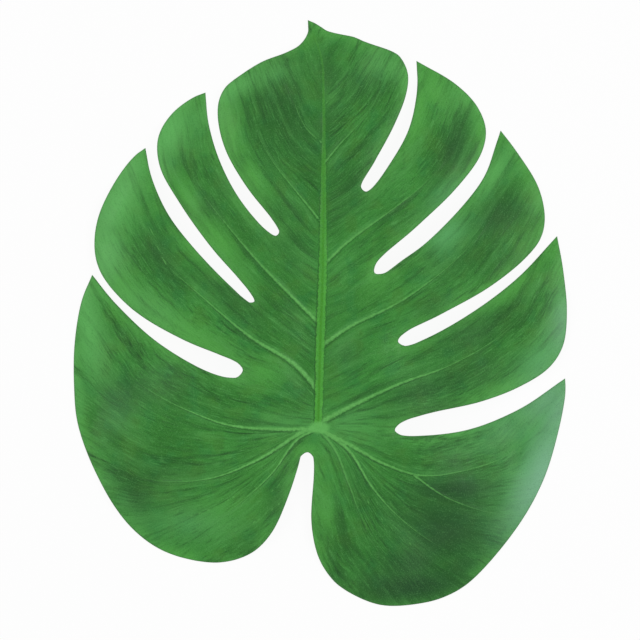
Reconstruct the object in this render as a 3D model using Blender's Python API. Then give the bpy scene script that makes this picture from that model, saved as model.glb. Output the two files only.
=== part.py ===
"""A monstera leaf, picked with its stalk cut off flush, lying on its underside.

Blade, midrib and side veins grew as one piece, so they are one solid. Metres, +Z up: the tip
points to +Y, the upper side faces +Z, and the drooping margins rest on the plane z = 0.
The origin is under the middle of the leaf.
"""

import math

import bmesh
import bpy
import numpy as np
from mathutils import Vector
from mathutils.geometry import delaunay_2d_cdt

MM = 0.001

# Blade, in millimetres
BLADE_THICKNESS = 0.8
CROWN_HEIGHT = 18.0
MARGIN_HEIGHT = 1.6
HALF_WIDTH = 150.0
HALF_LENGTH = 178.0
MIDRIB_VALLEY_DEPTH = 6.0
MIDRIB_VALLEY_WIDTH = 24.0
VEIN_VALLEY_DEPTH = 1.5
VEIN_VALLEY_WIDTH = 8.0
EDGE_DROOP = 3.4
EDGE_DROOP_REACH = 11.0

# Slow swells of the margin, in millimetres: lift, swells round the leaf, phase
SWELLS = [
    (3.6, 5, 0.9),
    (2.0, 8, 2.4),
]
# Small ripples across the blade: height and length in millimetres, heading and phase
RIPPLES = [
    (0.9, 47.0, 0.5, 0.0),
    (0.7, 38.0, 2.1, 1.3),
]

# Flat spots that the leaf rests on: x, y, radius and depth of the dip, in millimetres
REST_SPOTS = [
    (-96.0, -124.0, 24.0, 7.0),
    (80.0, -146.0, 24.0, 7.0),
    (20.0, 154.0, 22.0, 9.5),
    (-78.0, 112.0, 18.0, 5.0),
]
REST_BLEND = 1.6

# At each slit the upper lobe's edge lifts and the lower lobe's dips, in millimetres
SLIT_STEP = 1.7
SLIT_STEP_REACH = 24.0

# Relief of the veins, in millimetres, at the root and at the end
MIDRIB_HALF_WIDTH = (2.6, 0.9)
MIDRIB_DEPTH = (2.6, 0.7)
MIDRIB_RISE = (0.45, 0.15)
VEIN_HALF_WIDTH = (1.6, 0.6)
VEIN_DEPTH = (1.5, 0.3)
VEIN_RISE = (0.3, 0.08)
VEIN_END_FADE = 0.15
VALLEY_FADE = 0.7

# Spacing of the mesh, in millimetres and degrees
MARGIN_STEP = 5.4
MARGIN_TURN = 16.0
VEIN_STEP = 7.0
FIELD_STEP = 8.4
FIELD_CLEARANCE = 3.6
VEIN_CLEARANCE = 3.2
VEIN_GAP = 11.0
SAME_POINT = 0.05

LEAF_COLOUR = (0.058, 0.205, 0.052, 1.0)
LEAF_ROUGHNESS = 0.5

# The margin, in millimetres from the middle of the leaf, anticlockwise from the tip. Each run
# goes from one sharp point round a lobe, in to the round end of a slit, and out to the next point.
MARGIN_RUNS = [
    [(-7.5, 176), (-7.7, 168), (-12.5, 161), (-20, 156.7), (-35, 151), (-49, 142.2), (-57, 135.5),
     (-61, 127), (-61.3, 115), (-56.5, 97), (-44, 75.3), (-28.5, 55.5), (-24.7, 48.5), (-26.5, 46.3),
     (-32, 49.3), (-47.7, 67.5), (-59.6, 89.6), (-67, 113.4), (-69, 132.5)],
    [(-69, 132.5), (-77, 129.2), (-90, 118.8), (-97.3, 105), (-96.2, 88), (-84.3, 66), (-65, 39),
     (-48.3, 20), (-40.5, 10), (-39.5, 7), (-42, 6.4), (-53.3, 15.8), (-76.5, 40), (-91.6, 60),
     (-101.5, 82.5), (-105, 99.2)],
    [(-105, 99.2), (-111.5, 94.4), (-122, 81), (-132.8, 59), (-135.6, 42.5), (-134, 30), (-128.3, 18.8),
     (-111, 1), (-82, -16), (-58.9, -25.5), (-49.5, -29.8), (-46.4, -34), (-49.3, -38), (-55, -38.5),
     (-69.4, -34), (-98, -17.1), (-122.8, 5.7), (-137, 23)],
    [(-137, 23), (-143.3, 7.6), (-147.5, -17), (-148, -42.5), (-145.6, -67), (-133.6, -98.4),
     (-115.7, -126.5), (-96, -142), (-72, -149.2), (-55.5, -149.2), (-40, -143.2), (-28.7, -131),
     (-18.5, -108), (-13.3, -92), (-11.4, -85.6), (-7.6, -83.4), (-4.5, -86), (-3.9, -95), (-5.4, -125),
     (-1.7, -145), (4.5, -156.6), (12.9, -165), (35.6, -175.2), (60.6, -174.3), (76.6, -169.6),
     (90.7, -160.7), (118, -129), (134, -100.3), (143.6, -68.5), (147.3, -47), (147, -39.2)],
    [(147, -39.2), (119.2, -57.8), (88, -70), (57, -73.4), (48.3, -72.8), (44.6, -70), (48, -65.7),
     (63.1, -60.5), (95.8, -53.2), (119.2, -44.4), (137, -33), (145.5, -20), (148, 0), (145.8, 26.4),
     (142.2, 46.3)],
    [(142.2, 46.3), (119.2, 22), (92.6, 1.6), (63.5, -15), (50.5, -19.5), (46.5, -17), (49.5, -12.5),
     (72, -0.8), (101.2, 15.6), (124, 34), (132.5, 45.5), (134.8, 58), (130.7, 76.2), (117.6, 97.5),
     (108.3, 109.7)],
    [(108.3, 109.7), (105.7, 102), (98.9, 83), (86.3, 65.5), (62.9, 41.8), (48.5, 31.3), (37.5, 23.7),
     (32.5, 24), (33.4, 29.6), (57.5, 51.5), (81.5, 74.8), (96.2, 95), (99.4, 110), (94, 124.5),
     (80.7, 138), (57.7, 151.5)],
    [(57.7, 151.5), (58.1, 135), (53, 110.3), (41, 88.5), (30.5, 74.5), (27, 72.7), (24.4, 75.5),
     (32, 89.7), (44, 112), (51.5, 131.5), (52.4, 144), (47, 154.5), (35.4, 160), (27.5, 162.7),
     (19.8, 166), (11.6, 167.6), (3.6, 169.8), (-1, 173), (-7.5, 176)],
]

# The midrib and the side veins, in millimetres, each from its root outwards
MIDRIB = [(-1.3, -70), (-0.7, -49), (0.2, -13), (1.4, 20), (1.9, 68), (2, 128), (1, 152), (-3.5, 166)]
SIDE_VEINS = {
    "left_1": [(2, 101), (-7, 109), (-11.5, 116), (-16, 127), (-21, 138)],
    "left_2": [(1.6, 53), (-8, 65), (-17, 76), (-28, 90), (-37, 106), (-42, 121)],
    "left_3": [(0.3, -7), (-12, 5), (-35.5, 29), (-56, 53), (-72, 74), (-80, 90), (-83, 106)],
    "left_4": [(-0.8, -47), (-15, -31), (-42, -14), (-72, 11), (-92, 29), (-104, 44), (-112, 62)],
    "left_5": [(-1.3, -69), (-22, -69.5), (-54, -67), (-77, -59), (-96, -50), (-114, -37), (-126, -19)],
    "left_6": [(-1.3, -69), (-12, -72), (-34, -86), (-62, -98), (-84, -101), (-104, -99), (-122, -90)],
    "left_7": [(-1.3, -69), (-14, -76), (-29, -96), (-52, -117), (-70, -129)],
    "right_1": [(2, 124), (11, 133), (17, 142)],
    "right_2": [(1.9, 89), (11, 100), (29, 120), (37, 134)],
    "right_3": [(1.4, 28), (16, 42), (46, 64), (64, 79), (76, 94), (83, 110)],
    "right_4": [(0.2, -20), (18, -8), (48, 7), (78, 29), (96, 48), (108, 66)],
    "right_5": [(-1, -66), (18, -56), (48, -42), (76, -32), (106, -15), (122, 0), (130, 14)],
    "right_6": [(-1.3, -69), (18, -79), (38, -90), (60, -97), (83, -95), (111, -86), (129, -69)],
    "right_6_branch": [(56, -97), (75, -110), (99, -119), (112, -121)],
    "right_7": [(-1.3, -69), (17, -82), (31, -104), (46, -121), (68, -138), (86, -147)],
    "right_8": [(-1.3, -69), (9, -82), (17, -102), (29, -132), (42, -150)],
}

# Middle lines of the slits, in millimetres, each from its inner end to its mouth
SLITS = {
    "left_1": [(-27, 49), (-38, 62), (-56, 86), (-64, 112), (-65, 132)],
    "left_2": [(-42, 9), (-62, 28), (-88, 60), (-99, 84), (-101, 100)],
    "left_3": [(-50, -34), (-80, -23), (-112, -3), (-132, 18)],
    "right_1": [(27.5, 76), (42, 98), (53, 125), (55, 149)],
    "right_2": [(35, 27), (60, 47), (88, 76), (102, 106)],
    "right_3": [(50, -16), (80, -2), (110, 18), (138, 50)],
    "right_4": [(48, -69), (80, -64), (112, -54), (144, -35)],
}


def clear_scene():
    for item in list(bpy.data.objects):
        bpy.data.objects.remove(item)


def smooth_line(points, samples=24):
    """Samples of a centripetal Catmull-Rom curve through the points."""
    points = [np.array(point, float) for point in points]
    points = [2 * points[0] - points[1]] + points + [2 * points[-1] - points[-2]]
    line = []
    for p0, p1, p2, p3 in zip(points, points[1:], points[2:], points[3:]):
        t1 = math.sqrt(np.linalg.norm(p1 - p0))
        t2 = t1 + math.sqrt(np.linalg.norm(p2 - p1))
        t3 = t2 + math.sqrt(np.linalg.norm(p3 - p2))
        for t in np.linspace(t1, t2, samples, endpoint=False):
            a1 = p0 + (p1 - p0) * t / t1
            a2 = p1 + (p2 - p1) * (t - t1) / (t2 - t1)
            a3 = p2 + (p3 - p2) * (t - t2) / (t3 - t2)
            b1 = a1 + (a2 - a1) * t / t2
            b2 = a2 + (a3 - a2) * (t - t1) / (t3 - t1)
            line.append(b1 + (b2 - b1) * (t - t1) / (t2 - t1))
    line.append(points[-2])
    return np.array(line)


def thinned(line, longest, sharpest):
    """The points of the line that its length or its bend calls for, with both ends."""
    kept = [line[0]]
    length = 0.0
    turn = 0.0
    steps = np.diff(line, axis=0)
    headings = np.unwrap(np.arctan2(steps[:, 1], steps[:, 0]))
    for i in range(1, len(line) - 1):
        length += np.linalg.norm(steps[i - 1])
        turn += abs(headings[i] - headings[i - 1])
        if length >= longest or turn >= math.radians(sharpest):
            kept.append(line[i])
            length = 0.0
            turn = 0.0
    if length < 0.3 * longest and len(kept) > 1:
        kept.pop()
    kept.append(line[-1])
    return np.array(kept)


def leaf_margin():
    runs = [thinned(smooth_line(run), MARGIN_STEP, MARGIN_TURN)[:-1] for run in MARGIN_RUNS]
    return np.vstack(runs)


def nearest_on(line, points):
    """Distance from each point to the line, how far along the line that is, from 0 to 1,
    and the side of the line that the point is on: 1 to the left, -1 to the right."""
    starts = line[:-1]
    steps = np.diff(line, axis=0)
    lengths = np.linalg.norm(steps, axis=1)
    offsets = points[:, None, :] - starts[None, :, :]
    share = np.clip((offsets * steps).sum(axis=2) / lengths ** 2, 0.0, 1.0)
    gaps = np.linalg.norm(offsets - share[:, :, None] * steps, axis=2)
    nearest = gaps.argmin(axis=1)
    rows = np.arange(len(points))
    before = np.concatenate([[0.0], np.cumsum(lengths)])[nearest]
    along = (before + share[rows, nearest] * lengths[nearest]) / lengths.sum()
    step = steps[nearest]
    offset = offsets[rows, nearest]
    side = np.sign(step[:, 0] * offset[:, 1] - step[:, 1] * offset[:, 0])
    return gaps[rows, nearest], along, side


def edge_distance(margin, points):
    closed = np.vstack([margin, margin[:1]])
    return nearest_on(closed, points)[0]


def inside(margin, points):
    """True for each point that the margin surrounds."""
    hit = np.zeros(len(points), bool)
    for (x0, y0), (x1, y1) in zip(margin, np.roll(margin, -1, axis=0)):
        spans = (y0 > points[:, 1]) != (y1 > points[:, 1])
        if y1 != y0:
            crossing = x0 + (points[:, 1] - y0) * (x1 - x0) / (y1 - y0)
            hit ^= spans & (points[:, 0] < crossing)
    return hit


def taper(ends, along):
    return ends[0] + (ends[1] - ends[0]) * along


def vein_relief(points, lines):
    """Depth of the ribs below the blade, their rise above it, and the shallow valley along them."""
    depth = np.zeros(len(points))
    rise = np.zeros(len(points))
    valley = np.zeros(len(points))
    for name, line in lines.items():
        main = name == "midrib"
        gap, along, _ = nearest_on(line, points)
        half_width = taper(MIDRIB_HALF_WIDTH if main else VEIN_HALF_WIDTH, along)
        profile = np.clip(1.0 - (gap / half_width) ** 2, 0.0, 1.0)
        fade = np.clip((1.0 - along) / VEIN_END_FADE, 0.0, 1.0)
        depth = np.maximum(depth, profile * fade * taper(MIDRIB_DEPTH if main else VEIN_DEPTH, along))
        rise = np.maximum(rise, profile * fade * taper(MIDRIB_RISE if main else VEIN_RISE, along))
        if not main:
            sink = VEIN_VALLEY_DEPTH * np.exp(-(gap / VEIN_VALLEY_WIDTH) ** 2)
            valley = np.maximum(valley, sink * (1.0 - VALLEY_FADE * along))
    return depth, rise, valley


def rest_on_plane(height):
    """The height kept at zero or above, with a soft bend where the blade meets the plane."""
    lift = np.clip(height + REST_BLEND, 0.0, None)
    return np.where(height < REST_BLEND, lift ** 2 / (4.0 * REST_BLEND), height)


def slit_steps(points):
    """How far the edges of neighbouring lobes stand above or below each other."""
    step = np.zeros(len(points))
    for name, route in SLITS.items():
        gap, along, side = nearest_on(smooth_line(route), points)
        upper = side if name.startswith("right") else -side
        fade = np.clip(2.0 * along, 0.0, 1.0) ** 2
        step += upper * fade * np.exp(-(gap / SLIT_STEP_REACH) ** 2)
    return SLIT_STEP * step


def blade_form(points, edge, valley):
    """Height of the blade: a low crown that falls to swelling, drooping margins."""
    x = points[:, 0]
    y = points[:, 1]
    reach = np.hypot(x / HALF_WIDTH, y / HALF_LENGTH)
    angle = np.arctan2(y, x)
    height = MARGIN_HEIGHT + CROWN_HEIGHT * (1.0 - reach ** 2)
    height -= MIDRIB_VALLEY_DEPTH * np.exp(-(x / MIDRIB_VALLEY_WIDTH) ** 2) * (1.0 - reach ** 2)
    height -= EDGE_DROOP * np.exp(-edge / EDGE_DROOP_REACH)
    height += slit_steps(points) - valley
    for lift, count, phase in SWELLS:
        height += lift * reach ** 2 * np.sin(count * angle + phase)
    for lift, length, heading, phase in RIPPLES:
        across = x * math.cos(heading) + y * math.sin(heading)
        height += lift * reach * np.sin(2.0 * math.pi * across / length + phase)
    for spot_x, spot_y, radius, dip in REST_SPOTS:
        gap = np.hypot(x - spot_x, y - spot_y)
        height -= dip * np.exp(-(gap / radius) ** 2)
    return height


def field_points(margin, lines):
    """Staggered points that fill the blade between its margin and its veins."""
    xs = np.arange(-HALF_WIDTH, HALF_WIDTH, FIELD_STEP)
    ys = np.arange(-HALF_LENGTH, HALF_LENGTH, FIELD_STEP * math.sqrt(0.75))
    grid = []
    for row, y in enumerate(ys):
        shift = 0.5 * FIELD_STEP * (row % 2)
        grid.extend((x + shift, y) for x in xs)
    grid = np.array(grid)
    grid = grid[inside(margin, grid)]
    grid = grid[edge_distance(margin, grid) > FIELD_CLEARANCE]
    for name, line in lines.items():
        half_width = MIDRIB_HALF_WIDTH[0] if name == "midrib" else VEIN_HALF_WIDTH[0]
        gap, _, _ = nearest_on(line, grid)
        grid = grid[gap > half_width + VEIN_CLEARANCE]
    return grid


def vein_rows(lines):
    """The crest and both shoulders of every vein, each a row of points that mesh edges follow."""
    rows = []
    midrib = lines["midrib"]
    for name, line in lines.items():
        main = name == "midrib"
        crest = thinned(line, VEIN_STEP, MARGIN_TURN)
        if not main:
            clear = nearest_on(midrib, crest)[0] > MIDRIB_HALF_WIDTH[0] + 0.5
            crest = crest[clear]
        heading = np.gradient(crest, axis=0)
        heading /= np.linalg.norm(heading, axis=1)[:, None]
        normal = np.column_stack([-heading[:, 1], heading[:, 0]])
        along = nearest_on(line, crest)[1]
        half_width = taper(MIDRIB_HALF_WIDTH if main else VEIN_HALF_WIDTH, along)[:, None]
        rows.append(crest)
        for side in (-1.0, 1.0):
            shoulder = (crest + side * half_width * normal)[:-1]
            others = [other for key, other in lines.items() if key != name]
            free = np.ones(len(shoulder), bool)
            for other in others:
                free &= nearest_on(other, shoulder)[0] > 2.0 * VEIN_HALF_WIDTH[0]
            rows.append(shoulder[free])
    return rows


def leaf_sheet():
    """Plan view of the blade as triangles whose edges follow the margin and the veins."""
    margin = leaf_margin()
    lines = {"midrib": smooth_line(MIDRIB)}
    for name, points in SIDE_VEINS.items():
        lines[name] = smooth_line(points)
    points = [tuple(point) for point in margin]
    edges = []
    for row in vein_rows(lines):
        first = len(points)
        points.extend(tuple(point) for point in row)
        for i in range(first, len(points) - 1):
            if math.dist(points[i], points[i + 1]) < VEIN_GAP:
                edges.append((i, i + 1))
    points.extend(tuple(point) for point in field_points(margin, lines))
    flat = [Vector(point) for point in points]
    rim = list(range(len(margin)))
    verts, _, faces, _, _, _ = delaunay_2d_cdt(flat, edges, [rim], 1, SAME_POINT)
    return np.array([tuple(vert) for vert in verts]), faces, margin, lines


def make_leaf():
    plan, faces, margin, lines = leaf_sheet()
    depth, rise, valley = vein_relief(plan, lines)
    form = blade_form(plan, edge_distance(margin, plan), valley)
    top = rest_on_plane(form) + BLADE_THICKNESS + rise
    under = rest_on_plane(form - depth)
    middle = 0.5 * (plan.min(axis=0) + plan.max(axis=0))
    plan = plan - middle

    bm = bmesh.new()
    place = bm.verts.layers.int.new("place")
    verts = []
    for i, ((x, y), z) in enumerate(zip(plan, under)):
        vert = bm.verts.new((x * MM, y * MM, z * MM))
        vert[place] = i
        verts.append(vert)
    for face in faces:
        bm.faces.new([verts[i] for i in face])
    raised = bmesh.ops.extrude_face_region(bm, geom=bm.faces[:])
    for item in raised["geom"]:
        if isinstance(item, bmesh.types.BMVert):
            item.co.z = top[item[place]] * MM
    bm.verts.layers.int.remove(place)
    bmesh.ops.recalc_face_normals(bm, faces=bm.faces)

    mesh = bpy.data.meshes.new("leaf")
    bm.to_mesh(mesh)
    bm.free()
    mesh.shade_smooth()
    mesh.set_sharp_from_angle(angle=math.radians(50))
    return bpy.data.objects.new("leaf", mesh)


def leaf_material():
    material = bpy.data.materials.new("leaf_green")
    material.use_nodes = True
    shader = material.node_tree.nodes["Principled BSDF"]
    shader.inputs["Base Color"].default_value = LEAF_COLOUR
    shader.inputs["Roughness"].default_value = LEAF_ROUGHNESS
    shader.inputs["Metallic"].default_value = 0.0
    return material


def main():
    clear_scene()
    collection = bpy.data.collections.new("monstera_leaf")
    bpy.context.scene.collection.children.link(collection)
    leaf = make_leaf()
    leaf.data.materials.append(leaf_material())
    collection.objects.link(leaf)


main()
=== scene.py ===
# %% [markdown]
# # A monstera leaf
#
# A monstera leaf is a leathery, heart-shaped blade. Slits run in from its margin between the side
# veins, and leave finger-like lobes. A pale midrib runs from the place of the stalk to the tip,
# and paler side veins curve out from it, about one to a lobe. This leaf was picked and laid on its
# underside, so it rests on the lowest parts of its margin.
#
# The CAD blade already has the outline, the arch and the ribs. This lesson makes the leaf that is
# seen: a finer and smoother copy of that blade, then its veins, streaks and greens.

# %% Load the CAD blade
import math

import bmesh
import bpy
import numpy as np
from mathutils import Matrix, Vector
from mathutils.kdtree import KDTree


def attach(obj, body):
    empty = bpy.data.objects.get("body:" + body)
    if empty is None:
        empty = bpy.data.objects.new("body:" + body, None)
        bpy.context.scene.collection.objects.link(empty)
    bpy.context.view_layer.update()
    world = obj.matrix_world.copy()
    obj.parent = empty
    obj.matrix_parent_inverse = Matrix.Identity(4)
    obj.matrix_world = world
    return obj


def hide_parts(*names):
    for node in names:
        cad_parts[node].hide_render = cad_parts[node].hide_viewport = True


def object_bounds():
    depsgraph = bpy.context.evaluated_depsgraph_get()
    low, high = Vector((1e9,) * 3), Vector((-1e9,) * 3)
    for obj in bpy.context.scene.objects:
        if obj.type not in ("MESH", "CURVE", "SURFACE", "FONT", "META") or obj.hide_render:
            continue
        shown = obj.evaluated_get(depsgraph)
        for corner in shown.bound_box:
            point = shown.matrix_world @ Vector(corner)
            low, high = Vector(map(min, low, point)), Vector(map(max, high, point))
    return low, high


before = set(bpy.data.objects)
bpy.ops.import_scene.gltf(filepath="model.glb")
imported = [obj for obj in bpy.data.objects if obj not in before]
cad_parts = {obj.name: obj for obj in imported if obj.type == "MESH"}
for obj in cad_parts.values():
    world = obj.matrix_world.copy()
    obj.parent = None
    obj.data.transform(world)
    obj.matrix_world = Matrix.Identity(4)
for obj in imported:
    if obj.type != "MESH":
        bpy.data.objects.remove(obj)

MM = 0.001

cad_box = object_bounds()
cad_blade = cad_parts["leaf"]
print("CAD blade, in mm:", [round(side / MM, 1) for side in cad_box[1] - cad_box[0]])

# %% [markdown]
# ## A finer blade
#
# The CAD blade is made of triangles about 8 mm wide, which would show as facets in soft light. A
# Subdivision Surface modifier would round them, but it would also pull in the pointed lobes and
# narrow the slits. So the plan of the leaf is kept: every triangle is cut into sixteen, and each
# new vertex is lifted to where a smooth curve through its two neighbours would pass.
#
# The upper side and the underside are refined as two open sheets, because a smooth curve makes no
# sense round the sharp cut edge. The edge is closed again afterwards.

# %% Merge the triangles and take the cut edge away
MERGE_DISTANCE = 0.01 * MM
# A face whose normal rises less than this belongs to the cut edge
WALL_STEEPNESS = 0.35

blade = bmesh.new()
blade.from_mesh(cad_blade.data)
bmesh.ops.remove_doubles(blade, verts=blade.verts, dist=MERGE_DISTANCE)
blade.normal_update()
wall = [face for face in blade.faces if abs(face.normal.z) < WALL_STEEPNESS]
bmesh.ops.delete(blade, geom=wall, context="FACES")
print(len(blade.faces), "triangles in the two sheets,", len(wall), "taken from the cut edge")

# %% Halve the longest triangles
LONGEST_EDGE = 12.0 * MM

long_edges = [edge for edge in blade.edges if edge.calc_length() > LONGEST_EDGE]
while long_edges:
    bmesh.ops.subdivide_edges(blade, edges=long_edges, cuts=1)
    cut_faces = [face for face in blade.faces if len(face.verts) > 3]
    bmesh.ops.triangulate(blade, faces=cut_faces)
    long_edges = [edge for edge in blade.edges if edge.calc_length() > LONGEST_EDGE]
print(len(blade.faces), "triangles once none is longer than", LONGEST_EDGE / MM, "mm")


# %% Cut every triangle into four, and lift the new vertices
# A rim that turns more sharply than this keeps its corner
SHARPEST_TURN = math.radians(35)
# Halfway along a cubic, the two end slopes lift it off the chord by this share of the run
SLOPE_LIFT = 0.125


def slope_at(vert):
    """How steeply the sheet rises along X and along Y at a vertex."""
    return Vector((-vert.normal.x, -vert.normal.y)) / vert.normal.z


def rim_neighbour(vert, other):
    """The vertex that follows on the rim, coming from the other one."""
    for edge in vert.link_edges:
        if edge.is_boundary and edge.other_vert(vert) is not other:
            return edge.other_vert(vert)


def rounded_middle(first, second):
    """The middle of a rim edge, moved out onto the curve that the rim follows there.
    The weights 9, 9, -1 and -1 over 16 put it on the cubic through four points of the rim."""
    before = rim_neighbour(first, second).co.xy
    after = rim_neighbour(second, first).co.xy
    step = second.co.xy - first.co.xy
    turns = (step.angle(first.co.xy - before, 0.0), step.angle(after - second.co.xy, 0.0))
    middle = 0.5 * (first.co.xy + second.co.xy)
    if max(turns) > SHARPEST_TURN:
        return middle
    return (9.0 * (first.co.xy + second.co.xy) - before - after) / 16.0


def ends_key(first, second):
    """Names an edge by the places of its two ends."""
    return frozenset((first.co.to_tuple(), second.co.to_tuple()))


def plan_key(first, second):
    """Names an edge by its ends in plan, so that an edge and the one under it share the name."""
    return frozenset((round(end.co.x / MM, 2), round(end.co.y / MM, 2)) for end in (first, second))


def refine(bm):
    """Cuts each triangle into four, with every new vertex on the smooth surface."""
    bm.normal_update()
    lifts = {}
    for edge in bm.edges:
        first, second = edge.verts
        if first.normal.z > 0.0:
            run = second.co.xy - first.co.xy
            bend = (slope_at(first) - slope_at(second)).dot(run)
            lifts[plan_key(first, second)] = SLOPE_LIFT * bend
    places = {}
    for edge in bm.edges:
        first, second = edge.verts
        middle = 0.5 * (first.co.xy + second.co.xy)
        if edge.is_boundary:
            middle = rounded_middle(first, second)
        height = 0.5 * (first.co.z + second.co.z) + lifts.get(plan_key(first, second), 0.0)
        places[ends_key(first, second)] = (middle.x, middle.y, max(height, 0.0))
    made = bmesh.ops.subdivide_edges(bm, edges=bm.edges, cuts=1, use_grid_fill=True)
    new = {item for item in made["geom_inner"] if isinstance(item, bmesh.types.BMVert)}
    targets = {}
    for vert in new:
        ends = {edge.other_vert(vert) for edge in vert.link_edges} - new
        targets[vert] = places[ends_key(*ends)]
    for vert, target in targets.items():
        vert.co = target


refine(blade)
refine(blade)
print(len(blade.faces), "triangles in the two sheets")

# %% [markdown]
# ## The cut edge
#
# The blade is under a millimetre thick, and its edge is softly rounded, not square. The two rims
# are bridged, the strip between them is cut into four rows, and the rows nearest to the rims move
# inwards. A Bevel modifier would do the same, but it leaves slivers where the slits end.

# %% Note which way is inwards at each rim vertex
inward = blade.verts.layers.float_vector.new("inward")
height_share = blade.verts.layers.float.new("height_share")

blade.normal_update()
rims = [edge for edge in blade.edges if edge.is_boundary]
for vert in {vert for edge in rims for vert in edge.verts}:
    ends = [edge.other_vert(vert).co.xy for edge in vert.link_edges if edge.is_boundary]
    along = (ends[1] - ends[0]).normalized()
    across = Vector((-along.y, along.x, 0.0))
    middles = [face.calc_center_median() - vert.co for face in vert.link_faces]
    side = sum(middle.normalized().dot(across) for middle in middles)
    vert[inward] = across if side > 0.0 else -across
    vert[height_share] = 1.0 if vert.normal.z > 0.0 else -1.0
print(len(rims), "rim edges")

# %% Bridge the rims and round the edge
EDGE_ROUNDING = 0.2 * MM

bridge = bmesh.ops.bridge_loops(blade, edges=rims)
rungs = [edge for edge in bridge["edges"] if edge not in set(rims)]
longest_rung = max((edge.verts[0].co.xy - edge.verts[1].co.xy).length for edge in rungs)
print(len(rungs), "rungs, the most slanted by", round(longest_rung / MM, 3), "mm")
bmesh.ops.subdivide_edges(blade, edges=rungs, cuts=3, use_grid_fill=True)
for vert in blade.verts:
    vert.co += EDGE_ROUNDING * vert[height_share] ** 2 * vert[inward]
bmesh.ops.triangulate(blade, faces=[face for face in blade.faces if len(face.verts) > 3])
bmesh.ops.recalc_face_normals(blade, faces=blade.faces)
blade.verts.layers.float_vector.remove(inward)
blade.verts.layers.float.remove(blade.verts.layers.float["height_share"])


# %% Settle the last small kinks
SETTLING_ROUNDS = 2
SETTLING_FACTOR = 0.4


def is_inner(vert):
    """Whether none of the vertex's faces belongs to the cut edge."""
    return all(abs(face.normal.z) > WALL_STEEPNESS for face in vert.link_faces)


blade.normal_update()
inner = [vert for vert in blade.verts if is_inner(vert)]
for _ in range(SETTLING_ROUNDS):
    bmesh.ops.smooth_vert(blade, verts=inner, factor=SETTLING_FACTOR, use_axis_z=True)
print(len(inner), "vertices settled, away from the cut edge")

# %% Make the leaf piece
leaf_mesh = bpy.data.meshes.new("leaf_blade")
blade.to_mesh(leaf_mesh)
blade.free()
leaf_mesh.shade_smooth()
leaf = bpy.data.objects.new("leaf_blade", leaf_mesh)
bpy.context.scene.collection.objects.link(leaf)
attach(leaf, "root")
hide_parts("leaf")
print(len(leaf_mesh.polygons), "triangles in the leaf")

# %% [markdown]
# ## Where the veins run
#
# Colour follows the veins all over a monstera leaf: the veins are pale, a thin shadow lies beside
# them, and fine streaks run along with them out to the margin. A noise texture alone can't know
# where the veins are. So each vertex learns how far it is from the nearest vein, and the material
# reads that. The lines are the ones that the ribs of the CAD blade follow, in millimetres from
# the middle of the leaf.

# %% The midrib and the side veins
MIDRIB = [(-1.3, -70), (-0.7, -49), (0.2, -13), (1.4, 20), (1.9, 68), (2, 128), (1, 152), (-3.5, 166)]
LEFT_VEINS = {
    "left_1": [(2, 101), (-7, 109), (-11.5, 116), (-16, 127), (-21, 138)],
    "left_2": [(1.6, 53), (-8, 65), (-17, 76), (-28, 90), (-37, 106), (-42, 121)],
    "left_3": [(0.3, -7), (-12, 5), (-35.5, 29), (-56, 53), (-72, 74), (-80, 90), (-83, 106)],
    "left_4": [(-0.8, -47), (-15, -31), (-42, -14), (-72, 11), (-92, 29), (-104, 44), (-112, 62)],
    "left_5": [(-1.3, -69), (-22, -69.5), (-54, -67), (-77, -59), (-96, -50), (-114, -37), (-126, -19)],
    "left_6": [(-1.3, -69), (-12, -72), (-34, -86), (-62, -98), (-84, -101), (-104, -99), (-122, -90)],
    "left_7": [(-1.3, -69), (-14, -76), (-29, -96), (-52, -117), (-70, -129)],
}
RIGHT_VEINS = {
    "right_1": [(2, 124), (11, 133), (17, 142)],
    "right_2": [(1.9, 89), (11, 100), (29, 120), (37, 134)],
    "right_3": [(1.4, 28), (16, 42), (46, 64), (64, 79), (76, 94), (83, 110)],
    "right_4": [(0.2, -20), (18, -8), (48, 7), (78, 29), (96, 48), (108, 66)],
    "right_5": [(-1, -66), (18, -56), (48, -42), (76, -32), (106, -15), (122, 0), (130, 14)],
    "right_6": [(-1.3, -69), (18, -79), (38, -90), (60, -97), (83, -95), (111, -86), (129, -69)],
    "right_6_branch": [(56, -97), (75, -110), (99, -119), (112, -121)],
    "right_7": [(-1.3, -69), (17, -82), (31, -104), (46, -121), (68, -138), (86, -147)],
    "right_8": [(-1.3, -69), (9, -82), (17, -102), (29, -132), (42, -150)],
}
# Thin strands that show only as colour: pale ones, and dark ones that are painted shadow
# beside the outer parts of the veins right_1 and right_2
PALE_STRANDS = [
    [(25, -108), (34, -120), (45, -131), (56, -140)],
    [(-23, -113), (-32, -120), (-42, -127)],
    [(-24, -102), (-34, -111), (-44, -118)],
    [(-50, -109), (-62, -116), (-78, -122)],
    [(-92, 29), (-96, 37), (-103, 54)],
]
SHADOW_STRANDS = [
    [(5, 131), (12, 138), (17, 146), (21, 156), (23, 165)],
    [(22, 118), (28, 124), (35, 134), (37, 144)],
]
CURVE_SAMPLES = 10


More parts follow.
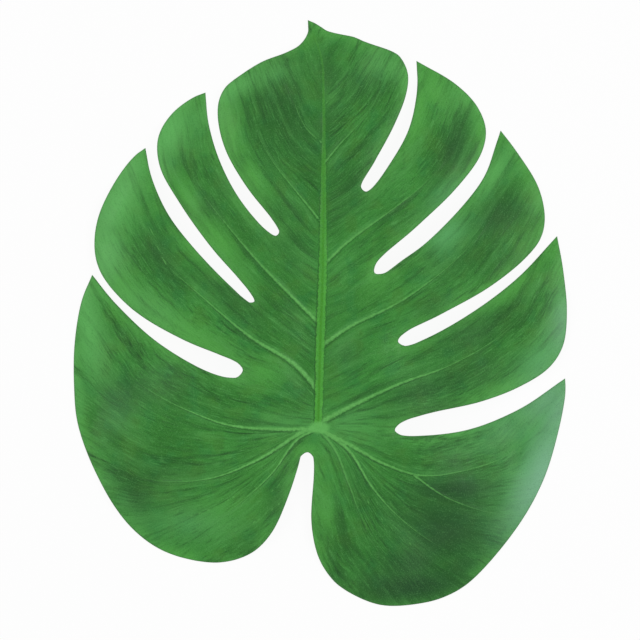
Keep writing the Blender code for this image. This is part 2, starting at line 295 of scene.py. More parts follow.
def smooth_line(points):
    """Samples of a centripetal Catmull-Rom curve through the points."""
    points = [np.array(point, float) for point in points]
    points = [2 * points[0] - points[1]] + points + [2 * points[-1] - points[-2]]
    line = []
    for p0, p1, p2, p3 in zip(points, points[1:], points[2:], points[3:]):
        t1 = math.sqrt(np.linalg.norm(p1 - p0))
        t2 = t1 + math.sqrt(np.linalg.norm(p2 - p1))
        t3 = t2 + math.sqrt(np.linalg.norm(p3 - p2))
        for t in np.linspace(t1, t2, CURVE_SAMPLES, endpoint=False):
            a1 = p0 + (p1 - p0) * t / t1
            a2 = p1 + (p2 - p1) * (t - t1) / (t2 - t1)
            a3 = p2 + (p3 - p2) * (t - t2) / (t3 - t2)
            b1 = a1 + (a2 - a1) * t / t2
            b2 = a2 + (a3 - a2) * (t - t1) / (t3 - t1)
            line.append(b1 + (b2 - b1) * (t - t1) / (t2 - t1))
    line.append(points[-2])
    return np.array(line)


side_lines = {name: smooth_line(points) for name, points in {**LEFT_VEINS, **RIGHT_VEINS}.items()}
midrib_line = smooth_line(MIDRIB)
print(len(side_lines), "side veins and a midrib")


# %% Measure from a line
def from_line(line, points):
    """Distance to the line in mm, with a minus to its right, and the share of its length there."""
    best = np.full(len(points), np.inf)
    share = np.zeros(len(points))
    side = np.ones(len(points))
    steps = np.diff(line, axis=0)
    lengths = np.linalg.norm(steps, axis=1)
    passed = 0.0
    for start, step, length in zip(line, steps, lengths):
        offset = points - start
        along = np.clip(offset @ step / length ** 2, 0.0, 1.0)
        gap = np.linalg.norm(offset - along[:, None] * step, axis=1)
        closer = gap < best
        best = np.where(closer, gap, best)
        share = np.where(closer, (passed + along * length) / lengths.sum(), share)
        turn = np.sign(step[0] * offset[:, 1] - step[1] * offset[:, 0])
        side = np.where(closer, turn, side)
        passed += length
    return best * side, share


def keep_field(name, values):
    """Stores one number for each vertex, for the material to read."""
    field = leaf_mesh.attributes.new(name, "FLOAT", "POINT")
    field.data.foreach_set("value", np.asarray(values, np.float32))
    print(f"{name}: {values.min():.2f} to {values.max():.2f}")


corners = np.empty(3 * len(leaf_mesh.vertices), np.float32)
leaf_mesh.vertices.foreach_get("co", corners)
plan = corners.reshape(-1, 3)[:, :2].astype(float) / MM

# %% Round the ribs
# Half width, depth below the blade and rise above it, in mm, at the root and at the end
MIDRIB_SECTION = ((2.6, 0.9), (2.6, 0.7), (0.45, 0.15))
VEIN_SECTION = ((1.6, 0.6), (1.5, 0.3), (0.3, 0.08))
RIB_END_FADE = 0.15


def rib_rounding(line, section):
    """How much a rib of rounded section stands out beyond the CAD rib's two flat flanks."""
    signed, share = from_line(line, plan)
    half_width, depth, rise = (np.interp(share, (0.0, 1.0), ends) for ends in section)
    t = np.clip(abs(signed) / half_width, 0.0, 1.0)
    bulge = (t - t ** 2) * np.clip((1.0 - share) / RIB_END_FADE, 0.0, 1.0)
    return bulge * depth, bulge * rise


below, above = rib_rounding(midrib_line, MIDRIB_SECTION)
for line in side_lines.values():
    vein_below, vein_above = rib_rounding(line, VEIN_SECTION)
    below = np.maximum(below, vein_below)
    above = np.maximum(above, vein_above)
normals = np.empty(3 * len(leaf_mesh.vertices), np.float32)
leaf_mesh.vertices.foreach_get("normal", normals)
upness = normals.reshape(-1, 3)[:, 2]
corners[2::3] += MM * np.where(upness > 0.0, above, -below)
for axis in range(3):
    corners[axis::3] = np.clip(corners[axis::3], cad_box[0][axis], cad_box[1][axis])
leaf_mesh.vertices.foreach_set("co", corners)
leaf_mesh.update()
print("ribs rounded by up to", round(below.max(), 2), "mm below,", round(above.max(), 2), "mm above")

# %% The midrib's own measures, and the pale place where the veins meet
# Half the midrib's width in mm, at these shares of its length
MIDRIB_SHARES = (0.0, 0.25, 0.4, 0.6, 0.75, 1.0)
MIDRIB_HALF_WIDTHS = (2.2, 2.6, 2.4, 1.7, 1.1, 0.6)
JUNCTION_MIDDLE = (-0.6, -68.5)
JUNCTION_REACH = (6.0, 3.5)

midrib_gap, midrib_share = from_line(midrib_line, plan)
midrib_width = np.interp(midrib_share, MIDRIB_SHARES, MIDRIB_HALF_WIDTHS)
keep_field("midrib_gap", midrib_gap)
keep_field("midrib_share", midrib_share)
keep_field("midrib_width", midrib_width)
junction_gap = np.linalg.norm((plan - JUNCTION_MIDDLE) / JUNCTION_REACH, axis=1)
keep_field("junction", np.exp(-junction_gap ** 2))

# %% The nearest side vein's measures
# Half a vein's width in mm beyond this share of its length
VEIN_END_WIDTH = 0.3
VEIN_TAPER_END = 0.6
# A vein's paleness at its root, at two shares of its length, and where it ends
PALE_SHARES = (0.25, 0.55)
PALENESS = (1.2, 0.9, 0.6, 0.0)
# The shadow beside a vein is even up to the first share, and gone at the second
SHADOW_SHARES = (0.6, 0.95)
SHADOW_STRENGTH = 0.6
# How far from the vein, in mm, its shadow side is told apart in full
SIDE_BLEND = 1.5
FAR_AWAY = 1000.0
# How far out each vein stays pale, as a share of its length, how pale it is, and half its width
# at the root in mm
VEIN_SHOWS = {
    "left_1": (0.8, 0.5, 0.5),
    "left_2": (0.9, 0.7, 0.6),
    "left_3": (0.8, 0.9, 1.1),
    "left_4": (0.8, 1.1, 1.5),
    "left_5": (0.82, 1.35, 1.3),
    "left_6": (0.85, 1.25, 1.3),
    "left_7": (0.85, 1.15, 0.8),
    "right_1": (0.8, 0.5, 0.5),
    "right_2": (0.9, 0.6, 0.6),
    "right_3": (0.8, 0.8, 0.9),
    "right_4": (0.9, 0.9, 1.2),
    "right_5": (0.95, 1.0, 1.5),
    "right_6": (1.0, 1.0, 1.4),
    "right_6_branch": (0.95, 0.7, 0.6),
    "right_7": (0.9, 1.1, 1.1),
    "right_8": (0.6, 0.6, 0.8),
}

vein_gap = np.full(len(plan), FAR_AWAY)
vein_width = np.ones(len(plan))
vein_pale = np.zeros(len(plan))
vein_dark = np.zeros(len(plan))
vein_side = np.zeros(len(plan))
for name, line in side_lines.items():
    signed, share = from_line(line, plan)
    gap = abs(signed)
    reach, strength, root_width = VEIN_SHOWS[name]
    closer = gap < vein_gap
    width = np.interp(share, (0.0, VEIN_TAPER_END), (root_width, VEIN_END_WIDTH))
    vein_gap = np.where(closer, gap, vein_gap)
    vein_width = np.where(closer, width, vein_width)
    fading = np.interp(share, (0.0, *PALE_SHARES, reach), PALENESS)
    vein_pale = np.where(closer, np.clip(strength * fading, 0.0, 1.0), vein_pale)
    darkness = np.interp(share, SHADOW_SHARES, (SHADOW_STRENGTH, 0.0))
    vein_dark = np.where(closer, min(strength, 1.0) * darkness, vein_dark)
    lower = signed if name.startswith("left") else -signed
    vein_side = np.where(closer, np.clip(lower / SIDE_BLEND, -1.0, 1.0), vein_side)
keep_field("vein_gap", vein_gap)
keep_field("vein_width", vein_width)
keep_field("vein_pale", vein_pale)
keep_field("vein_dark", vein_dark)
keep_field("vein_side", vein_side)


# %% The thin strands
def nearest_strand(strands):
    """Distance to the nearest of the strands, in mm."""
    return np.min([abs(from_line(smooth_line(points), plan)[0]) for points in strands], axis=0)


keep_field("pale_strand_gap", nearest_strand(PALE_STRANDS))
keep_field("shadow_strand_gap", nearest_strand(SHADOW_STRANDS))

# %% [markdown]
# ## Which way the streaks run
#
# Fine streaks run beside the side veins and turn with them. Each half of the leaf gets a pair of
# coordinates of its own: one counts across, from vein to vein, and one counts along, outwards
# from the midrib. A noise that is stretched in these coordinates flows with the veins.

# %% Across and along the veins
# How far, in mm, each vein's line is carried on, and how far out the outermost veins' strips reach
BEYOND_THE_VEIN = 60.0
OUTER_GAP = 30.0
# The two halves meet on the midrib and, below it, on a line to where the stalk was cut
STALK_CUT = (-8.0, -84.0)
# The streaks fade in between these two distances from that line, in mm
HALVES_BLEND = (2.2, 4.0)


def lengthened(line):
    """The line with a straight run added at its outer end."""
    heading = line[-1] - line[-3]
    return np.vstack([line, line[-1] + BEYOND_THE_VEIN * heading / np.linalg.norm(heading)])


def streak_coordinates(veins, below):
    """Across: the number of veins above a point, and the share of the way down to the next one.
    Along: how far out the point is, in mm. Last, how far apart the two veins are there.
    Below is 1 where a vein's left side faces down, else -1."""
    gaps = []
    reaches = []
    passed = np.zeros(len(plan), int)
    for name in veins:
        line = lengthened(side_lines[name])
        signed, share = from_line(line, plan)
        gaps.append(abs(signed))
        reaches.append(share * np.linalg.norm(np.diff(line, axis=0), axis=1).sum())
        passed += below * signed > 0.0
    gaps = np.array([np.full(len(plan), OUTER_GAP)] + gaps + [np.full(len(plan), OUTER_GAP)])
    reaches = np.array([reaches[0]] + reaches + [reaches[-1]])
    rows = np.arange(len(plan))
    above, under = gaps[passed, rows], gaps[passed + 1, rows]
    down = above / (above + under)
    outwards = reaches[passed, rows] * (1.0 - down) + reaches[passed + 1, rows] * down
    return np.array([passed + down, outwards, above + under])


halves_gap, _ = from_line(np.vstack([STALK_CUT, midrib_line]), plan)
left_streaks = streak_coordinates(LEFT_VEINS, 1)
whole_veins = [name for name in RIGHT_VEINS if not name.endswith("branch")]
right_streaks = streak_coordinates(whole_veins, -1)
own_half = np.where(halves_gap > 0.0, left_streaks, right_streaks)
streak_across, streak_along, streak_spacing = own_half
keep_field("streak_across", streak_across)
keep_field("streak_along", streak_along)
keep_field("streak_spacing", streak_spacing)
keep_field("streak_share", np.interp(abs(halves_gap), HALVES_BLEND, (0.0, 1.0)))

# %% [markdown]
# ## Lighter and darker places
#
# No leaf is one even green. Here the margins are lighter, partly a paler green of their own and
# partly painted light where the blade droops, the middle of each lobe is darkest, young yellowish
# green, also partly painted light, shows beside some slits, and the margin of the right basal lobe
# has a cool painted sheen of reflected light. Painting these by hand would need an image. Instead
# each place is a soft oval: its middle, its half length and half width in millimetres, its heading
# in degrees from +X, and how strongly it shows.

# %% Distance from the edge
# A vertex whose normal rises less than this lies on the rounded edge
EDGE_STEEPNESS = 0.6

edge_tree = KDTree(len(leaf_mesh.vertices))
for index in np.flatnonzero(abs(upness) < EDGE_STEEPNESS):
    edge_tree.insert((plan[index, 0], plan[index, 1], 0.0), int(index))
edge_tree.balance()
edge_gap = np.array([edge_tree.find((x, y, 0.0))[2] for x, y in plan])
keep_field("edge_gap", edge_gap)
keep_field("underside", np.clip(0.5 - 2.0 * upness, 0.0, 1.0))

# %% The places, by the green they have; the lighter ones are partly painted light
# Yellowish green: partly the leaf's own, partly painted light on lobe sides that face the light
YELLOW_AND_LIT_PLACES = [
    (-55, 108, 28, 8, 103, 1.0),
    (-41, 81, 16, 7, 127, 0.9),
    (-20, 52, 6, 5, 0, 0.3),
    (-62, 43, 22, 8, 130, 1.0),
    (-80, 70, 16, 6, 125, 0.9),
    (-78, -13, 32, 9, 150, 1.0),
    (-118, 12, 20, 11, 125, 1.0),
    (-35, -35, 11, 8, 0, 0.7),
    (-62, -118, 30, 16, 0, 0.55),
    (-32, -88, 20, 12, 50, 0.35),
    (68, 135, 14, 9, 120, 0.9),
    (57, 120, 24, 8, 80, 1.0),
    (98, 106, 16, 5, 100, 0.8),
    (34, 18, 14, 9, 40, 0.5),
    (127, 44, 14, 6, 60, 0.5),
    (124, 82, 22, 6, 115, 0.4),
    (141, 26, 22, 5, 95, 0.4),
    (136, -14, 22, 8, 70, 0.3),
    (112, 14, 22, 7, 40, 0.8),
    (120, -43, 24, 6, 22, 0.8),
    (3, -121, 26, 6, 90, 0.7),
]
# Paler green on the margins: partly the leaf's own, partly painted light where they droop
PALE_AND_LIT_PLACES = [
    (-30, 143, 20, 6, 22, 0.4),
    (-90, 110, 24, 12, 62, 1.0),
    (-72, 118, 14, 10, 20, 0.6),
    (-121, 66, 30, 12, 65, 1.0),
    (-129, 36, 26, 11, 85, 1.0),
    (-104, 4, 26, 8, 148, 0.6),
    (-140, -8, 34, 10, 97, 1.0),
    (-146, -48, 24, 6, 94, 0.6),
    (-113, 86, 14, 8, 55, 0.8),
    (104, 84, 22, 7, 55, 0.8),
    (-120, -112, 34, 7, 125, 0.3),
    (-22, -66, 22, 8, 0, 0.45),
    (18, -70, 24, 15, 0, 0.4),
    (40, 149, 18, 10, 150, 0.6),
    (88, 128, 16, 7, 135, 0.5),
    (-52, 135, 22, 7, 30, 0.8),
]
# Cool bluish green: partly the leaf's own, partly painted light on lobe sides and margins
COOL_AND_LIT_PLACES = [
    (74, 71, 14, 6, 42, 0.7),
    (76, 47, 14, 9, 40, 1.0),
    (-80, -126, 22, 10, 0, 0.45),
    (112, -64, 30, 12, 22, 0.6),
    (128, -84, 40, 15, 68, 0.9),
    (132, -27, 18, 10, 45, 0.9),
]
# The painted sheen of reflected light keeps to the margin: it fades between these two
# distances from it, in mm
PAINTED_SHEEN_BAND = (3.0, 18.0)
PAINTED_SHEEN_PLACES = [
    (146, -6, 22, 10, 85, 0.4),
    (140, -60, 26, 18, 80, 0.6),
    (128, -96, 34, 20, 65, 0.9),
]
DEEP_GREEN = [
    (-20, 120, 40, 20, 110, 0.5),
    (6, 130, 30, 12, 90, 0.4),
    (26, 140, 18, 12, 0, 0.4),
    (-30, 98, 30, 14, 115, 0.35),
    (-26, 56, 30, 14, 120, 0.4),
    (-52, 8, 24, 10, 135, 0.45),
    (24, 80, 26, 14, 50, 0.4),
    (-66, 63, 10, 6, 130, 0.6),
    (-95, 33, 20, 8, 122, 0.6),
    (-114, -46, 22, 14, 0, 0.45),
    (-90, -98, 20, 9, 0, 0.4),
    (-111, -112, 18, 12, 130, 0.65),
    (-38, -144, 14, 8, 20, 0.4),
    (80, 99, 22, 8, 62, 0.75),
    (106, 58, 22, 10, 50, 0.7),
    (90, 32, 24, 10, 40, 0.4),
    (92, -10, 36, 13, 28, 0.55),
    (70, -42, 38, 11, 22, 0.6),
    (68, -58, 20, 8, 10, 0.6),
    (46, 117, 16, 7, 70, 0.45),
    (-26, -114, 16, 7, 78, 0.4),
    (-55, 77, 10, 8, 120, 0.4),
    (66, 4, 14, 8, 30, 0.4),
    (17, -26, 10, 9, 0, 0.35),
    (80, -106, 32, 10, 0, 0.95),
    (76, -130, 38, 26, 0, 0.88),
    (56, -150, 26, 16, 0, 0.8),
    (24, -108, 22, 10, 120, 0.3),
    (80, -90, 26, 9, 5, 0.45),
    (58, -164, 40, 13, 5, 1.0),
    (84, -152, 20, 12, 35, 0.7),
]


def ovals(places):
    """How strongly the places show at each vertex: fully in an oval's middle, and fading outwards."""
    shown = np.zeros(len(plan))
    for x, y, half_length, half_width, heading, strength in places:
        turn = math.radians(heading)
        offset = plan - (x, y)
        lengthwise = offset @ (math.cos(turn), math.sin(turn)) / half_length
        widthwise = offset @ (-math.sin(turn), math.cos(turn)) / half_width
        shown = np.maximum(shown, strength * np.exp(-(lengthwise ** 2 + widthwise ** 2)))
    return shown


keep_field("yellow_and_lit_green", ovals(YELLOW_AND_LIT_PLACES))
keep_field("pale_and_lit_green", ovals(PALE_AND_LIT_PLACES))
keep_field("cool_and_lit_green", ovals(COOL_AND_LIT_PLACES))
# The painted sheen, kept to the margin
keep_field("sheen", ovals(PAINTED_SHEEN_PLACES) * np.interp(edge_gap, PAINTED_SHEEN_BAND, (1.0, 0.0)))
keep_field("deep_green", ovals(DEEP_GREEN))

# %% [markdown]
# ## The leaf's material
#
# The upper side has a thin waxy skin with a soft gloss. Its green is built up in layers, as on
# the plant: a mottled base, the lighter and darker places, the streaks, the veins, and the grain
# of the cells on top. The underside is paler and matt. One shader does both, and the vertex
# numbers from above say what goes where.

# %% Helpers that add nodes
# The Mix node's sockets for colours, because several of its sockets share a name
MIX_SHARE = 0
MIX_UNDER = 6
MIX_OVER = 7
MIX_RESULT = 2

leaf_green = bpy.data.materials.new("living_leaf_green")
leaf_green.use_nodes = True
tree = leaf_green.node_tree
skin = tree.nodes["Principled BSDF"]


def feed(socket, value):
    """Links another node's output to an input, or sets a plain value there."""
    if isinstance(value, bpy.types.NodeSocket):
        tree.links.new(value, socket)
    else:
        socket.default_value = value


def field(name):
    """The number that each vertex keeps under this name."""
    node = tree.nodes.new("ShaderNodeAttribute")
    node.attribute_name = name
    return node.outputs["Fac"]


def calculate(operation, first, second=0.0):
    """One step of arithmetic on two numbers."""
    node = tree.nodes.new("ShaderNodeMath")
    node.operation = operation
    feed(node.inputs[0], first)
    feed(node.inputs[1], second)
    return node.outputs[0]


def times(first, second):
    """The product of two numbers."""
    return calculate("MULTIPLY", first, second)


def over_range(value, start, end, low=0.0, high=1.0):
    """A soft step from low, at start, to high, at end."""
    node = tree.nodes.new("ShaderNodeMapRange")
    node.interpolation_type = "SMOOTHSTEP"
    feed(node.inputs["Value"], value)
    feed(node.inputs["From Min"], start)
    feed(node.inputs["From Max"], end)
    feed(node.inputs["To Min"], low)
    feed(node.inputs["To Max"], high)
    return node.outputs["Result"]


def tinted(under, over, share):
    """The first colour, with the second one over it by that share."""
    node = tree.nodes.new("ShaderNodeMix")
    node.data_type = "RGBA"
    feed(node.inputs[MIX_SHARE], share)
    feed(node.inputs[MIX_UNDER], under)
    feed(node.inputs[MIX_OVER], over)
    return node.outputs[MIX_RESULT]


def noise(vector, scale, detail=2.0, roughness=0.5):
    """A cloudy pattern of numbers between 0 and 1, mostly near 0.5."""
    node = tree.nodes.new("ShaderNodeTexNoise")
    feed(node.inputs["Vector"], vector)
    feed(node.inputs["Scale"], scale)
    feed(node.inputs["Detail"], detail)
    feed(node.inputs["Roughness"], roughness)
    return node.outputs["Fac"]


def joined(x, y, z):
    """A place to read a pattern at, from three numbers."""
    node = tree.nodes.new("ShaderNodeCombineXYZ")
    feed(node.inputs["X"], x)
    feed(node.inputs["Y"], y)
    feed(node.inputs["Z"], z)
    return node.outputs["Vector"]


place = tree.nodes.new("ShaderNodeTexCoord").outputs["Object"]

# %% The base green and its places
BASE_GREEN = (0.028, 0.164, 0.022, 1.0)
EARTHY_GREEN = (0.046, 0.168, 0.019, 1.0)
SEA_GREEN = (0.024, 0.200, 0.043, 1.0)
SOFT_GREEN = (0.044, 0.236, 0.037, 1.0)
DARKEST_GREEN = (0.014, 0.064, 0.018, 1.0)
LIT_YOUNG_GREEN = (0.078, 0.340, 0.055, 1.0)
LIT_MARGIN_GREEN = (0.106, 0.405, 0.096, 1.0)
LIT_BLUISH_GREEN = (0.090, 0.345, 0.105, 1.0)
EDGE_LIGHT_REACH = 8.0

mottle = noise(place, 38.0, detail=3.0)
tone = noise(place, 75.0, detail=2.0)
green = tinted(BASE_GREEN, SOFT_GREEN, over_range(mottle, 0.35, 0.65))
green = tinted(green, EARTHY_GREEN, over_range(tone, 0.52, 0.68, high=0.45))
green = tinted(green, SEA_GREEN, over_range(tone, 0.46, 0.32, high=0.4))
# Partly painted light: the blade turns lighter towards its edge, where the margins droop
edge_light = over_range(field("edge_gap"), EDGE_LIGHT_REACH, 0.0, high=0.8)
green = tinted(green, LIT_YOUNG_GREEN, times(edge_light, over_range(mottle, 0.25, 0.65, low=0.25)))
green = tinted(green, DARKEST_GREEN, field("deep_green"))
# The yellowish, pale and cool places: partly the leaf's own greens, partly painted light
green = tinted(green, LIT_YOUNG_GREEN, field("yellow_and_lit_green"))
green = tinted(green, LIT_MARGIN_GREEN, field("pale_and_lit_green"))
green = tinted(green, LIT_BLUISH_GREEN, field("cool_and_lit_green"))

# %% [markdown]
# ## Streaks, veins and grain
#
# The streaks are noises, read in the coordinates that follow the veins, some broad and some fine.
# Where the veins spread apart, a finer one takes over, so that the streaks stay thin. Dark strokes
# show most where the lobe is darkest. A painted sheen of reflected light on the margin lies over
# all of them.

# %% Streaks that flow with the veins
STREAK_DARK = (0.016, 0.085, 0.016, 1.0)
STREAK_LIGHT = (0.085, 0.330, 0.075, 1.0)
# The pale bluish green of the painted sheen
PAINTED_SHEEN_GREEN = (0.205, 0.440, 0.275, 1.0)
# How far a streak sways to each side, as a share of the way from vein to vein
SWAY = 0.012

sway = over_range(noise(place, 60.0, detail=1.0), 0.2, 0.8, low=-SWAY, high=SWAY)
swaying_across = calculate("ADD", field("streak_across"), sway)


def streaks(per_gap, per_mm, seed, detail, roughness):
    """A noise along the veins: how many streaks lie between two veins, and how many end in a mm."""
    where = joined(times(swaying_across, per_gap), times(field("streak_along"), per_mm), seed)
    return noise(where, 1.0, detail=detail, roughness=roughness)


def between(first, second, share):
    """The first number where the share is 0, the second where it is 1."""
    return calculate("ADD", times(first, calculate("SUBTRACT", 1.0, share)), times(second, share))


# From 0 where two veins are 22 mm apart to 1 where they are 60 mm apart
spread = over_range(field("streak_spacing"), 22.0, 60.0)
broad = streaks(9.0, 0.02, 0.0, 3.0, 0.5)
fine = between(streaks(28.0, 0.10, 3.0, 4.0, 0.6), streaks(60.0, 0.12, 5.0, 4.0, 0.6), spread)
strokes = between(streaks(18.0, 0.08, 7.0, 2.0, 0.55), streaks(40.0, 0.10, 9.0, 2.0, 0.55), spread)
deep = field("deep_green")
# The lighter places, which are partly painted light, soften the dark streaks
lighter_places = calculate("MAXIMUM", field("yellow_and_lit_green"), field("pale_and_lit_green"))
lighter_places = calculate("MAXIMUM", lighter_places, field("cool_and_lit_green"))
dark_share = times(field("streak_share"), over_range(lighter_places, 0.0, 0.9, low=1.0, high=0.4))
light_share = times(field("streak_share"), over_range(deep, 0.0, 0.9, low=1.0, high=0.3))
broad_dark = over_range(broad, 0.5, 0.3, high=0.58)
fine_dark = over_range(fine, 0.5, 0.32, high=0.52)
broad_light = over_range(broad, 0.5, 0.7, high=0.32)
fine_light = over_range(fine, 0.52, 0.68, high=0.46)
green = tinted(green, STREAK_DARK, times(calculate("ADD", broad_dark, fine_dark), dark_share))
green = tinted(green, STREAK_LIGHT, times(calculate("ADD", broad_light, fine_light), light_share))
stroke_reach = over_range(deep, 0.0, 0.7, low=0.15, high=0.65)
stroke_share = times(over_range(strokes, 0.42, 0.3), stroke_reach)
green = tinted(green, STREAK_DARK, times(stroke_share, dark_share))
# Painted sheen: a pale reflection of light on the margin, laid over the streaks
green = tinted(green, PAINTED_SHEEN_GREEN, field("sheen"))

# %% Side veins, with a thin shadow on the lower side, the pale strands, and thin painted shadows
VEIN_GREEN = (0.120, 0.410, 0.092, 1.0)
SHADOW_GREEN = (0.016, 0.085, 0.016, 1.0)
# How far a vein's edge wavers, as a share of its half width
WAVER = 0.22

vein_pale = field("vein_pale")
wavering = noise(place, 500.0, detail=3.0, roughness=0.6)
edge_waver = over_range(wavering, 0.3, 0.7, low=-WAVER, high=WAVER)
relative_gap = calculate("DIVIDE", field("vein_gap"), field("vein_width"))
ragged_gap = calculate("ADD", relative_gap, edge_waver)
shadow = times(over_range(ragged_gap, 2.6, 1.2), over_range(field("vein_side"), -0.2, 0.6))
green = tinted(green, SHADOW_GREEN, times(shadow, field("vein_dark")))
patches = over_range(wavering, 0.6, 0.35, low=0.75, high=1.0)
patchy_pale = times(vein_pale, patches)
green = tinted(green, VEIN_GREEN, times(over_range(ragged_gap, 1.3, 0.3), patchy_pale))
# Painted shadow: dark lines beside the outer parts of two veins
green = tinted(green, SHADOW_GREEN, over_range(field("shadow_strand_gap"), 1.1, 0.2, high=0.5))
green = tinted(green, VEIN_GREEN, over_range(field("pale_strand_gap"), 0.7, 0.1, high=0.5))

# %% The midrib: two pale strips, a yellower groove between them, and a thin shadow at each side
RIB_PALE = (0.082, 0.380, 0.045, 1.0)
RIB_GROOVE = (0.050, 0.250, 0.018, 1.0)
JUNCTION_GREEN = (0.125, 0.440, 0.100, 1.0)

rib_signed = calculate("DIVIDE", field("midrib_gap"), field("midrib_width"))
rib_gap = calculate("ADD", calculate("ABSOLUTE", rib_signed), times(edge_waver, 0.6))
rib_shadow = over_range(rib_gap, 1.5, 1.0)
rib_side = over_range(rib_signed, -1.0, 1.0, low=0.4, high=0.85)
on_the_rib = over_range(field("midrib_share"), 0.0, 0.012)
rib_fade = times(on_the_rib, over_range(field("midrib_share"), 0.25, 1.0, low=1.0, high=0.25))
green = tinted(green, SHADOW_GREEN, times(times(rib_shadow, rib_side), rib_fade))
rib_strips = times(over_range(rib_gap, 1.15, 0.8, high=0.9), patches)
green = tinted(green, RIB_PALE, times(rib_strips, rib_fade))
green = tinted(green, RIB_GROOVE, times(over_range(rib_gap, 0.5, 0.1, high=0.85), rib_fade))
junction = over_range(field("junction"), 0.15, 0.6, high=0.85)
green = tinted(green, JUNCTION_GREEN, junction)

# %% The grain of the skin
SPECK_LIGHT = (0.110, 0.340, 0.100, 1.0)
SPECK_DARK = (0.012, 0.100, 0.016, 1.0)
RIM_GREEN = (0.045, 0.150, 0.045, 1.0)

specks = noise(place, 1500.0, detail=2.0, roughness=0.7)
green = tinted(green, SPECK_LIGHT, over_range(specks, 0.52, 0.75, high=0.4))
green = tinted(green, SPECK_DARK, over_range(specks, 0.48, 0.25, high=0.4))
green = tinted(green, RIM_GREEN, over_range(field("edge_gap"), 0.9, 0.0, high=0.5))

# %% [markdown]
# ## The underside and the skin
#
# Underneath, a monstera leaf is paler, greyer and matt, and its ribs stand out in yellowish
# green. The same measures draw them there.

# %% The underside
UNDER_GREEN = (0.105, 0.250, 0.085, 1.0)
UNDER_DARK = (0.080, 0.205, 0.065, 1.0)
UNDER_VEIN = (0.230, 0.390, 0.150, 1.0)

under = tinted(UNDER_GREEN, UNDER_DARK, over_range(mottle, 0.35, 0.7))
under = tinted(under, UNDER_DARK, over_range(fine, 0.55, 0.35, high=0.6))
under_pale = over_range(vein_pale, 0.0, 0.5, low=0.3, high=0.85)
under = tinted(under, UNDER_VEIN, times(over_range(relative_gap, 1.9, 0.8), under_pale))
under = tinted(under, UNDER_VEIN, times(on_the_rib, over_range(rib_gap, 1.3, 0.9)))
under = tinted(under, UNDER_VEIN, junction)
under = tinted(under, SPECK_DARK, over_range(specks, 0.45, 0.25, high=0.2))
underside = field("underside")
feed(skin.inputs["Base Color"], tinted(green, under, underside))

# %% Gloss and relief
CELLS_PER_METRE = 700.0
SKIN_SPECULAR = 0.2
UNDERSIDE_ROUGHNESS = 0.75
RELIEF_STRENGTH = 0.5
RELIEF_DEPTH = 0.3 * MM

cells = tree.nodes.new("ShaderNodeTexVoronoi")
cells.feature = "DISTANCE_TO_EDGE"
feed(cells.inputs["Vector"], place)
feed(cells.inputs["Scale"], CELLS_PER_METRE)
cell_walls = over_range(cells.outputs["Distance"], 0.0, 0.15)

upper_roughness = over_range(specks, 0.3, 0.7, low=0.40, high=0.52)
roughness = over_range(underside, 0.0, 1.0, low=upper_roughness, high=UNDERSIDE_ROUGHNESS)
feed(skin.inputs["Roughness"], roughness)
skin.inputs["Specular IOR Level"].default_value = SKIN_SPECULAR

relief = calculate("ADD", times(fine, 0.5), times(specks, 0.2))
relief = calculate("ADD", relief, times(cell_walls, 0.15))
bump = tree.nodes.new("ShaderNodeBump")
bump.inputs["Strength"].default_value = RELIEF_STRENGTH
bump.inputs["Distance"].default_value = RELIEF_DEPTH
feed(bump.inputs["Height"], relief)
feed(skin.inputs["Normal"], bump.outputs["Normal"])
leaf_mesh.materials.append(leaf_green)
print(len(tree.nodes), "nodes in the leaf's material")

# %% [markdown]
# ## A pale floor, soft light and a camera above
#
# The leaf lies on a smooth white board, lit from all round as in a light tent, so almost no
# shadow falls into the slits. The board glows a little, like a light table. The camera looks
# straight down from far away, so the leaf isn't bent by perspective.

# %% The floor
FLOOR_SIZE = 6.0
FLOOR_GAP = 0.1 * MM
BOARD_GREY = (0.05, 0.05, 0.05, 1.0)
BOARD_ROUGHNESS = 0.9
BOARD_GLOW = 0.935
WHITE = (1.0, 1.0, 1.0, 1.0)

floor_bm = bmesh.new()
bmesh.ops.create_grid(floor_bm, x_segments=1, y_segments=1, size=FLOOR_SIZE / 2)
bmesh.ops.translate(floor_bm, verts=floor_bm.verts, vec=(0.0, 0.0, -FLOOR_GAP))
floor_mesh = bpy.data.meshes.new("floor")
floor_bm.to_mesh(floor_mesh)
floor_bm.free()
floor = bpy.data.objects.new("floor", floor_mesh)
bpy.context.scene.collection.objects.link(floor)

board = bpy.data.materials.new("white_board")
board.use_nodes = True
board_shader = board.node_tree.nodes["Principled BSDF"]
board_shader.inputs["Base Color"].default_value = BOARD_GREY
board_shader.inputs["Roughness"].default_value = BOARD_ROUGHNESS
board_shader.inputs["Specular IOR Level"].default_value = 0.0
board_shader.inputs["Emission Color"].default_value = WHITE
board_shader.inputs["Emission Strength"].default_value = BOARD_GLOW
floor_mesh.materials.append(board)
print("floor", FLOOR_SIZE, "m wide,", round(FLOOR_GAP / MM, 2), "mm below the leaf")

# %% The lights
SKY_STRENGTH = 0.95
# The sky dims towards the zenith, where the camera is, so that the wax doesn't mirror it
ZENITH_SHARE = 0.2
DIMMING_START = 0.55
DIMMING_END = 0.98

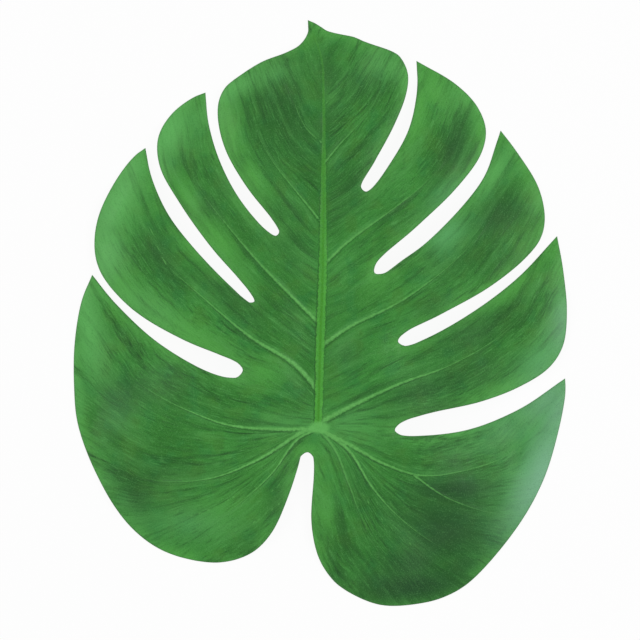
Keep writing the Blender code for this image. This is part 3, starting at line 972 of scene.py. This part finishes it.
sky = bpy.data.worlds.new("light_tent")
sky.use_nodes = True
sky_tree = sky.node_tree
direction = sky_tree.nodes.new("ShaderNodeTexCoord")
split = sky_tree.nodes.new("ShaderNodeSeparateXYZ")
sky_tree.links.new(direction.outputs["Generated"], split.inputs[0])
dimming = sky_tree.nodes.new("ShaderNodeMapRange")
dimming.interpolation_type = "SMOOTHSTEP"
sky_tree.links.new(split.outputs["Z"], dimming.inputs["Value"])
dimming.inputs["From Min"].default_value = DIMMING_START
dimming.inputs["From Max"].default_value = DIMMING_END
dimming.inputs["To Min"].default_value = SKY_STRENGTH
dimming.inputs["To Max"].default_value = ZENITH_SHARE * SKY_STRENGTH
sky_tree.links.new(dimming.outputs["Result"], sky_tree.nodes["Background"].inputs["Strength"])
sky_tree.nodes["Background"].inputs["Color"].default_value = WHITE
bpy.context.scene.world = sky


def soft_light(name, location, size, power):
    """A round lamp that faces the leaf, with its place and width in metres and its power in watts."""
    light = bpy.data.lights.new(name, "AREA")
    light.shape = "DISK"
    light.size = size
    light.energy = power
    lamp = bpy.data.objects.new(name, light)
    lamp.location = location
    lamp.rotation_euler = (-Vector(location)).to_track_quat("-Z", "Y").to_euler()
    bpy.context.scene.collection.objects.link(lamp)
    print(name, "at", location)


soft_light("window_light", (1.3, 0.1, 1.2), 1.0, 11.0)
soft_light("far_light", (-1.3, 0.5, 1.2), 1.2, 8.5)

# %% The camera
# The picture is 384 mm wide at the height of the leaf's margin, 3 mm above the floor
VIEW_WIDTH = 0.384
LEAF_HEIGHT = 0.003
CAMERA_PLACE = (-0.0001, -0.0042, 2.4)
SENSOR_WIDTH = 36.0

camera_data = bpy.data.cameras.new("camera")
camera_data.sensor_width = SENSOR_WIDTH
camera_data.lens = SENSOR_WIDTH * (CAMERA_PLACE[2] - LEAF_HEIGHT) / VIEW_WIDTH
camera_data.dof.use_dof = False
camera = bpy.data.objects.new("camera", camera_data)
camera.location = CAMERA_PLACE
bpy.context.scene.collection.objects.link(camera)
bpy.context.scene.camera = camera
bpy.context.scene.view_settings.view_transform = "Standard"
